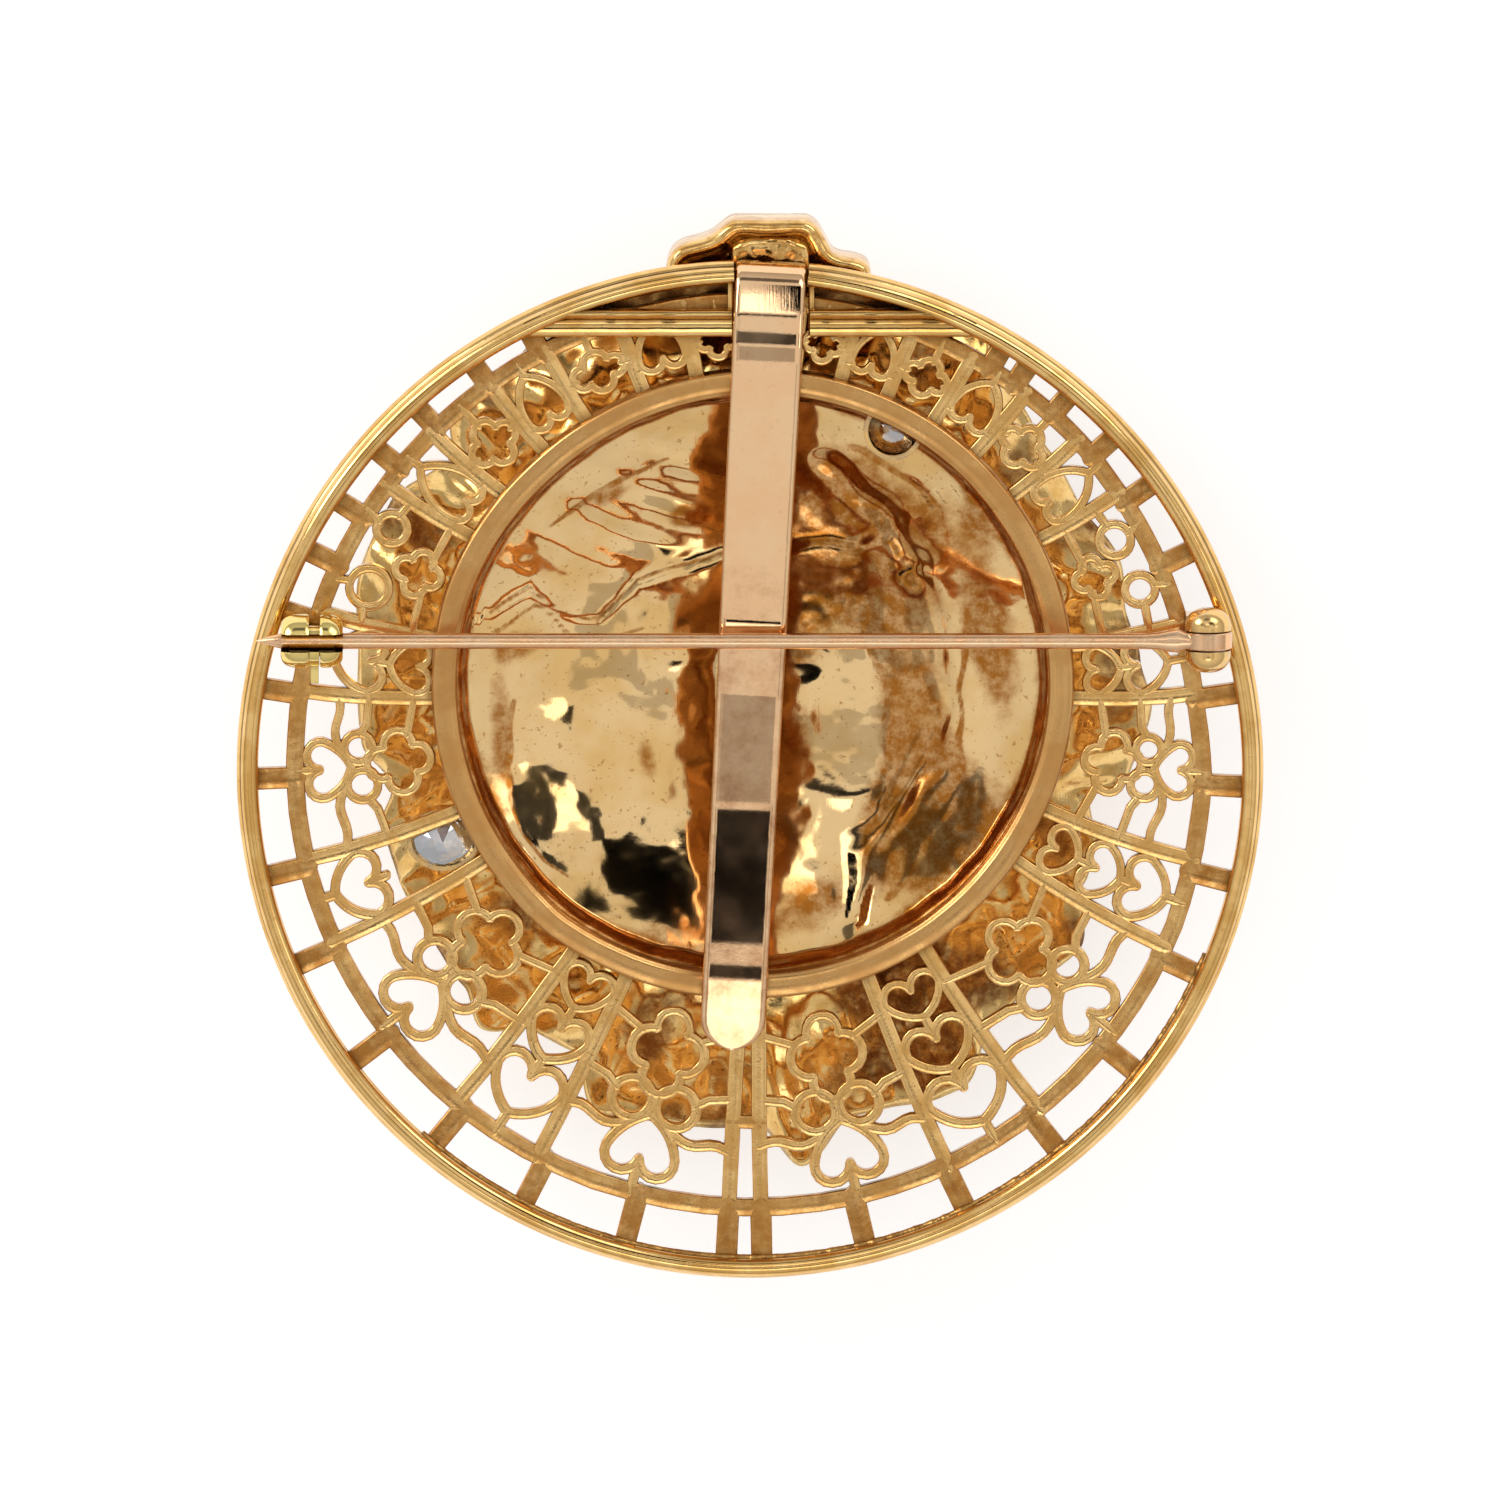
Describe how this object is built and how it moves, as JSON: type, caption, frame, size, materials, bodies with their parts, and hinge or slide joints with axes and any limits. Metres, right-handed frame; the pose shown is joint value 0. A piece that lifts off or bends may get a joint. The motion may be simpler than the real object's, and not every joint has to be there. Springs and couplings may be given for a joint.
{
  "type": "brooch",
  "caption": "Round pierced gold brooch lying on its front, with a head in hollow relief, a pin and safety catch, a flat clip and small diamonds.",
  "frame": {"origin": "centre of the outline, on the surface that the front of the relief rests on", "axes": "+Z out of the back towards the wearer, +Y to the top of the brooch, +X to the pin's hinge"},
  "size_m": [0.0514, 0.0532, 0.0136],
  "materials": {
    "gold": "bright rolled gold with light tarnish",
    "polished_gold": "polished gold with reddish tarnish",
    "satin_gold": "satin rose gold with fine scratches",
    "diamond": "polished facets"
  },
  "bodies": {
    "brooch": {"outer_rim": "gold", "gallery": "gold", "inner_ring": "gold", "head_shell": "polished_gold", "hair_frame": "gold", "crest": "gold", "clip_mount": "gold", "spring_tongue": "satin_gold", "hinge_block": "gold", "hinge_rivet": "gold", "catch_housing": "gold", "collet_left": "gold", "collet_right": "gold", "diamond_left": "diamond", "diamond_right": "diamond"},
    "pin": {"pin_stem": "satin_gold"},
    "catch": {"catch_rotor": "gold"}
  },
  "joints": [
    {"name": "pin_hinge", "type": "hinge", "parent": "brooch", "child": "pin", "pos_m": [0.02285, 0.00598, 0.012], "axis": [0, 1, 0], "range_deg": [0, 95]},
    {"name": "catch_turn", "type": "hinge", "parent": "brooch", "child": "catch", "pos_m": [-0.02185, 0.00598, 0.01242], "axis": [-1, 0, 0], "range_deg": [0, 100]}
  ]
}
